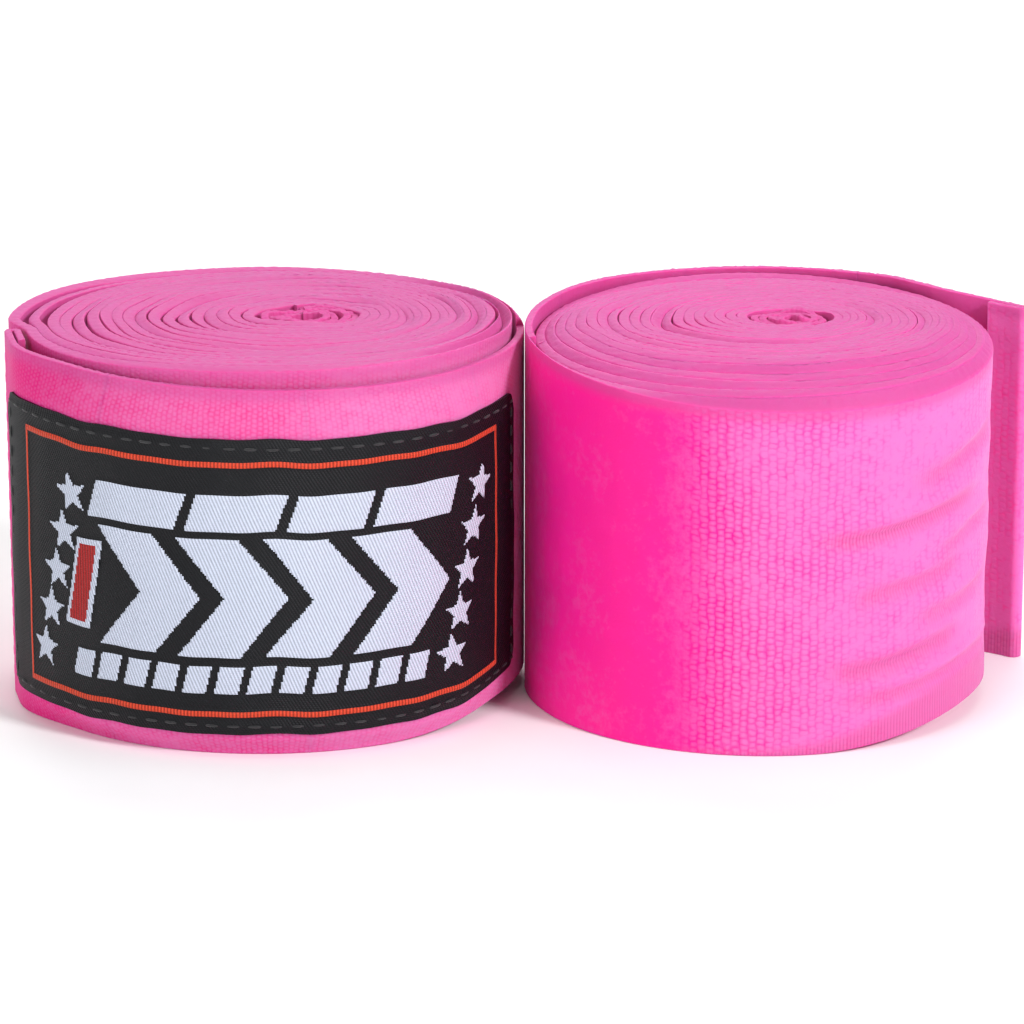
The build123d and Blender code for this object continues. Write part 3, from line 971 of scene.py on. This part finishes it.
def clipped(span, index):
    """The part of a span that one hinge's pieces cover."""
    start, end = max(span[0], CUTS[index]), min(span[1], CUTS[index + 1])
    return (start, end) if end - start > 1.0 else None


def label_radius(wrap):
    """The radius that distances along the label are measured on."""
    return wrap.under + STACK + LABEL_THICK


def label(wrap, index):
    """One length of the woven label."""
    span = clipped(LABEL_SPAN, index)
    radius = label_radius(wrap)

    def motif(a, height):
        return emblem(LABEL_MIDDLE * radius - np.radians(a) * radius, height)

    def relief(a, v):
        return 0.1 + 0.09 * ripple(a / 12.0, v / 14.0, wrap.seed + 14)

    materials = [LABEL_BLACK, LABEL_WHITE, LABEL_ORANGE, LABEL_RED]
    corners = (CORNER if index == 0 else 0.0, CORNER if index == 3 else 0.0)
    piece = plate(f"{wrap.name}_woven_label_{index + 1}", wrap, span, LABEL_LOW,
                  LABEL_LOW + LABEL_HEIGHT, SINK, LABEL_THICK - 0.12, materials, cell=CELL,
                  motif=motif, proud=0.14, crown=0.2, mid_relief=relief, waviness=0.16,
                  corners=corners)
    follow(piece, wrap, index, f"label_{index + 1}", slot="label")


def seam_marks(span, whole, low, high, radius):
    """Stitch places round a whole patch, as far as they lie in span."""
    degrees = math.degrees(1 / radius)
    first, last = whole[0] + STITCH_INSET * degrees, whole[1] - STITCH_INSET * degrees
    count = int((last - first) / (STITCH_PITCH * degrees))
    rows = int((high - low - 2 * STITCH_INSET) / STITCH_PITCH)
    marks = []
    for k in range(count + 1):
        a = first + (last - first) * k / count
        marks += [(a, low + STITCH_INSET, True), (a, high - STITCH_INSET, True)]
    for end in (first, last):
        marks += [(end, low + STITCH_INSET + STITCH_PITCH * (k + 0.5), False) for k in range(rows)]
    return [mark for mark in marks if span[0] <= mark[0] < span[1]]


def label_stitching(wrap, index):
    """The stitches round the label's border, on one length."""
    marks = seam_marks(clipped(LABEL_SPAN, index), LABEL_SPAN, LABEL_LOW,
                       LABEL_LOW + LABEL_HEIGHT, label_radius(wrap))
    piece = stitches(f"{wrap.name}_label_stitches_{index + 1}", wrap, marks, LABEL_THICK - 0.1,
                     BLACK_THREAD)
    follow(piece, wrap, index, f"label_stitching_{index + 1}", slot="label_thread")


def hook_patch(wrap, index):
    """One length of the hook patch, inside the free end, and the seam that comes through it."""
    span = clipped(PATCH_SPAN, index)
    if span is None:
        return
    radius = wrap.under + STACK - BAND_THICK
    piece = plate(f"{wrap.name}_hook_strip_{index + 1}", wrap, span, PATCH_LOW, PATCH_HIGH,
                  -BAND_THICK - SINK, -HOOK_THICK + 0.1, [HOOKS])
    piece.data.flip_normals()
    follow(piece, wrap, index, f"hook_patch_{index + 1}", slot="hooks")
    marks = seam_marks(span, PATCH_SPAN, PATCH_LOW, PATCH_HIGH, radius)
    seam = stitches(f"{wrap.name}_hook_stitches_{index + 1}", wrap, marks,
                    0.1 - BAND_THICK - HOOK_THICK, PINK_THREAD, side=-1)
    follow(seam, wrap, index, slot="thread")


def hem_stitching(wrap):
    """The stitches down the hem, outside the label."""
    rows = int((BAND_WIDTH - 4.0) / STITCH_PITCH)
    marks = [(HEM_STITCH, 2.0 + STITCH_PITCH * (k + 0.5), False) for k in range(rows)]
    piece = stitches(f"{wrap.name}_hem_stitches", wrap, marks, 0.0, PINK_THREAD, proud=0.05)
    follow(piece, wrap, len(HINGES) - 1, "hem_stitching", slot="thread")


def turn_beneath(wrap):
    """The turn under the closure, addressed by the angles of the free end that lies over it."""
    def shifted(method):
        return lambda a, *out: method(np.asarray(a) - 360.0, *out)
    methods = (wrap.face, wrap.place, wrap.outward, wrap.top, wrap.bottom)
    return SimpleNamespace(**{method.__name__: shifted(method) for method in methods})


def loop_patch(wrap):
    """The loop patch and its stitches, on the turn under the free end."""
    beneath = turn_beneath(wrap)
    pile = plate(f"{wrap.name}_loop_pile", beneath, PATCH_SPAN, PATCH_LOW, PATCH_HIGH, SINK,
                 PATCH_THICK - 0.05, [PILE], cell=0.8,
                 mid_relief=lambda a, v: 0.06 * ripple(a / 2.0, v / 1.2, wrap.seed + 8))
    ride(pile, wrap, "loop_patch", slot="loop_pile")
    marks = seam_marks(PATCH_SPAN, PATCH_SPAN, PATCH_LOW, PATCH_HIGH, wrap.under)
    seam = stitches(f"{wrap.name}_loop_stitches", beneath, marks, PATCH_THICK - 0.1, PINK_THREAD,
                    proud=0.2)
    ride(seam, wrap, "loop_patch_stitching", slot="thread")


LOOP_LOW = 3.0
LEAF_PITCH = 1.05
LEAF_GAP = 0.1
LOOP_TURNS = 1.8
LOOP_STEPS = 200


def thumb_loop(wrap):
    """The thumb loop: doubled webbing, rolled up in the core so that it nearly fills it."""
    start = inner_end(wrap)
    a = start + np.linspace(0, 360.0 * LOOP_TURNS, LOOP_STEPS)
    wall_a = start + np.mod(a - start, 360.0)
    wall = wrap.place(wall_a, -wound_thickness(wrap, wall_a) - LEAF_GAP)
    centre = np.mean(wrap.place(start + np.arange(360.0)), axis=0)
    reach = np.mean(np.linalg.norm(wall - centre, axis=1))
    inward = (2 * LEAF_PITCH + LEAF_GAP) * smooth((a - start - 260.0) / 130.0)
    blend = smooth((a - start) / 360.0)[:, None]
    wall = wall * (1 - blend) + (centre + reach * unit(wall - centre)) * blend
    path = centre + (wall - centre) * (1 - inward / reach)[:, None]
    tangent = unit(np.gradient(path, axis=0))
    normal = np.stack([-tangent[:, 1], tangent[:, 0]], -1)
    if np.sum((path - centre) * normal) < 0:
        normal = -normal
    fold = np.radians(np.linspace(0, 180, 11)[1:-1])
    tip_centre = path[-1] - normal[-1] * LEAF_PITCH
    turned = np.array([normal[-1] * math.cos(t) + tangent[-1] * math.sin(t) for t in fold])
    inner = (path - normal * 2 * LEAF_PITCH)[::-1]
    outer = np.concatenate([path, tip_centre + LEAF_PITCH * turned, inner])
    normals = np.concatenate([normal, turned, -normal[::-1]])
    along = cloth_length(outer)
    high = wrap.inner_top[2] - 0.3 + 0.4 * ripple(along / 9.0, 0.0, wrap.seed + 9)
    piece = ribbon(f"{wrap.name}_thumb_webbing", outer, normals, np.full(len(outer), LOOP_LOW),
                   high, np.ones(len(outer)), along, WEBBING, (6, 4), 0.14, wrap.seed + 4)
    ride(piece, wrap, "thumb_loop", slot="webbing")


def bartack(wrap):
    """The rows of thread that sew the thumb loop to the band's inner end."""
    start = inner_end(wrap)
    marks = [(start + 16.0 + 24.0 * k, BAND_WIDTH / 2 - 6.0 + 3.0 * row, True)
             for k in range(3) for row in range(5)]
    piece = stitches(f"{wrap.name}_bartack", wrap, marks, -0.1, PINK_THREAD, proud=0.12)
    ride(piece, wrap, "thumb_loop_bartack", slot="thread")


def build_wrap(wrap):
    wound_band(wrap)
    thumb_loop(wrap)
    bartack(wrap)
    loop_patch(wrap)
    for index in range(len(HINGES)):
        free_end(wrap, index)
        label(wrap, index)
        label_stitching(wrap, index)
        hook_patch(wrap, index)
    hem_stitching(wrap)


# ---- stage, light and camera

FLOOR_HALF = 3000.0


def stage():
    """White paper under the rolls."""
    m = Nodes("floor_paper", Roughness=0.9, Specular_IOR_Level=0.1)
    grain = m.noise(m.object_space(), 60.0, 2.0)
    m.colour(m.mix(grain, rgb(246, 246, 246), rgb(252, 252, 252)))
    corners = [(FLOOR_HALF * x, FLOOR_HALF * y, 0) for x, y in ((-1, -1), (1, -1), (1, 1), (-1, 1))]
    make_object("floor", corners, [(0, 1, 2, 3)], materials=[m.material])


def area_light(name, place, aim, size, power, colour=(1, 1, 1)):
    data = bpy.data.lights.new(name, "AREA")
    data.shape = "DISK"
    data.size, data.energy, data.color = size, power, colour
    light = add_object(name, data)
    light.location = place
    light.rotation_euler = vector_turn(np.array(aim) - np.array(place))


def vector_turn(direction):
    """The Euler turn that points an object's -Z along a direction, with its +Y up."""
    x, y, z = direction / np.linalg.norm(direction)
    return (math.acos(-z), 0.0, math.atan2(-x, y))


def lights():
    """A small key light at the right, and wide soft ones round it."""
    area_light("key", (0.56, -0.5, 0.46), (0.02, 0, 0.02), 0.18, 6.0, (1.0, 0.97, 1.0))
    area_light("fill", (-0.6, -0.6, 0.25), (0, 0, 0.02), 0.6, 3.0)
    area_light("top", (0.0, -0.1, 0.9), (0, 0, 0.0), 0.6, 1.5)
    area_light("back", (0.0, 0.9, 0.9), (0, 0.6, 0.0), 1.0, 9.0)
    world = bpy.data.worlds.new("studio")
    bpy.context.scene.world = world
    world.use_nodes = True
    background = world.node_tree.nodes["Background"]
    background.inputs["Color"].default_value = (1, 1, 1, 1)
    background.inputs["Strength"].default_value = 0.35


CAMERA_DISTANCE = 0.6
CAMERA_ELEVATION = 15.2
CAMERA_AIM = (-0.0015, 0.0, 0.0236)
SENSOR = 36.0
VIEW_WIDTH = 0.1376  # what the camera takes in at its aim


def camera():
    data = bpy.data.cameras.new("camera")
    data.lens = SENSOR * CAMERA_DISTANCE / VIEW_WIDTH
    data.clip_start, data.clip_end = 0.01, 20.0
    view = add_object("camera", data)
    tilt = math.radians(CAMERA_ELEVATION)
    back = np.array([0.0, -math.cos(tilt), math.sin(tilt)])
    view.location = np.array(CAMERA_AIM) + CAMERA_DISTANCE * back
    view.rotation_euler = vector_turn(-back)
    bpy.context.scene.camera = view


bpy.context.scene.view_settings.view_transform = "Standard"
for one in WRAPS:
    build_wrap(one)
stage()
lights()
camera()
